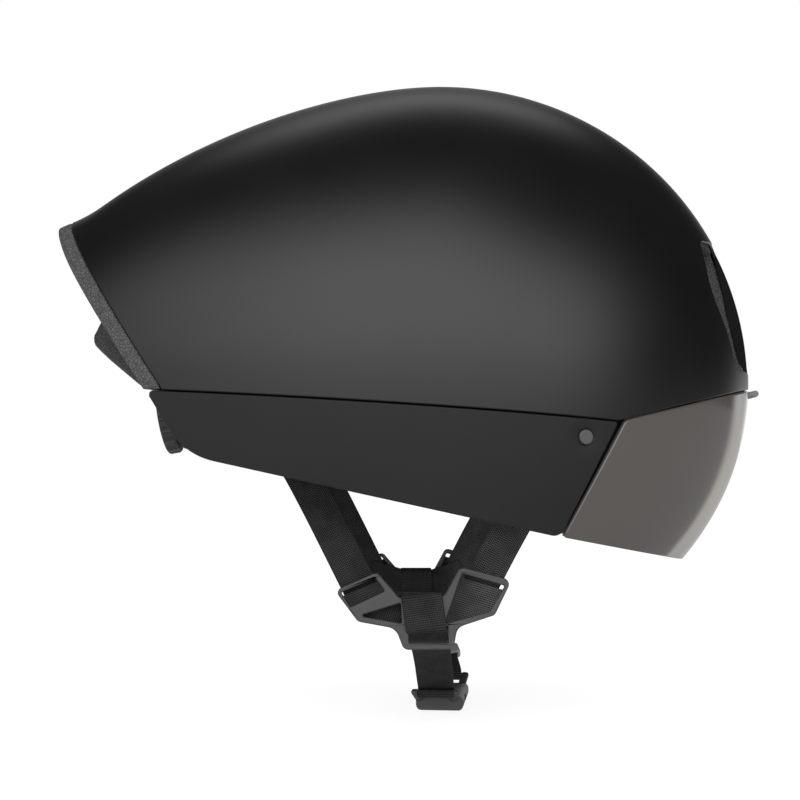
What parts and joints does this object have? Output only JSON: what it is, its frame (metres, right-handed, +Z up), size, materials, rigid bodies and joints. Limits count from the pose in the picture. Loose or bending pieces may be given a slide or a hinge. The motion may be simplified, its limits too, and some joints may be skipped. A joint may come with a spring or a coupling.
{
  "type": "aero time trial helmet",
  "caption": "Aero time trial helmet: long smooth shell over a foam liner, side panels over the ears, magnetic visor, dial-adjusted headband, and webbing chin strap with side-release buckle",
  "frame": {"origin": "middle of the head opening at the height of the brow, where the helmet seats on the head", "axes": "+X forward, +Y to the wearer's left, +Z up"},
  "size_m": [0.2906, 0.208, 0.2594],
  "materials": {
    "shell": "satin black moulded polycarbonate",
    "liner_foam": "dark grey expanded polystyrene with a fine bead grain",
    "side_panel": "satin dark grey moulded polycarbonate",
    "lens": "grey-brown mirrored polycarbonate lens",
    "tab": "grey soft plastic",
    "stud": "dark grey plastic cap over a magnet",
    "magnet": "nickel-plated magnet",
    "pad": "black brushed knit over foam",
    "nylon": "black moulded nylon",
    "dial": "black moulded nylon with a fine grain",
    "webbing": "black woven polyester webbing",
    "keeper": "grey soft rubber",
    "strap_hardware": "dark grey moulded nylon"
  },
  "bodies": {
    "root": {"outer_shell": "shell", "crown_liner": "liner_foam", "right_side_panel": "side_panel", "left_side_panel": "side_panel", "right_cheek_foam": "liner_foam", "left_cheek_foam": "liner_foam", "right_visor_stud": "stud", "left_visor_stud": "stud", "brow_magnets": "magnet", "brow_pad": "pad", "right_temple_pad": "pad", "left_temple_pad": "pad", "right_crown_pad": "pad", "left_crown_pad": "pad", "height_rail": "nylon", "right_strap_anchors": "nylon", "left_strap_anchors": "nylon", "right_front_strap": "webbing", "left_front_strap": "webbing", "right_rear_strap": "webbing", "left_rear_strap": "webbing", "right_strap_divider": "strap_hardware", "left_strap_divider": "strap_hardware", "right_chin_strap": "webbing", "left_chin_strap": "webbing", "buckle_socket": "strap_hardware"},
    "visor": {"visor_lens": "lens", "visor_carriers": "nylon", "visor_magnets": "magnet", "visor_tab": "tab"},
    "cradle_unit": {"cradle": "nylon", "dial_housing": "nylon"},
    "dial": {"dial_knob": "dial", "dial_pinion": "nylon"},
    "left_arm": {"left_band_arm": "nylon"},
    "right_arm": {"right_band_arm": "nylon"},
    "tongue": {"buckle_tongue": "strap_hardware", "strap_keeper": "keeper"}
  },
  "joints": [
    {"name": "visor_pull", "type": "slide", "parent": "root", "child": "visor", "axis": [1, 0, 0], "range_m": [0, 0.09]},
    {"name": "cradle_height", "type": "slide", "parent": "root", "child": "cradle_unit", "axis": [-0.1736, 0, 0.9848], "range_m": [-0.016, 0]},
    {"name": "dial_turn", "type": "hinge", "parent": "cradle_unit", "child": "dial", "pos_m": [-0.11769, 0, -0.01317], "axis": [0.9848, 0, 0.1736], "range_deg": [0, 300]},
    {"name": "left_arm_slide", "type": "hinge", "parent": "cradle_unit", "child": "left_arm", "pos_m": [-0.026, 0, 0.003], "axis": [-0.1736, 0, 0.9848], "range_deg": [0, 16]},
    {"name": "right_arm_slide", "type": "hinge", "parent": "cradle_unit", "child": "right_arm", "pos_m": [-0.026, 0, 0.003], "axis": [-0.1736, 0, 0.9848], "range_deg": [-16, 0]},
    {"name": "buckle_release", "type": "slide", "parent": "root", "child": "tongue", "axis": [0.1045, 0.9945, 0], "range_m": [0, 0.03], "deforming": ["left_chin_strap"]}
  ],
  "couplings": [
    {"joint": "left_arm_slide", "follows": "dial_turn", "ratio": 0.051607},
    {"joint": "right_arm_slide", "follows": "dial_turn", "ratio": -0.051607}
  ]
}
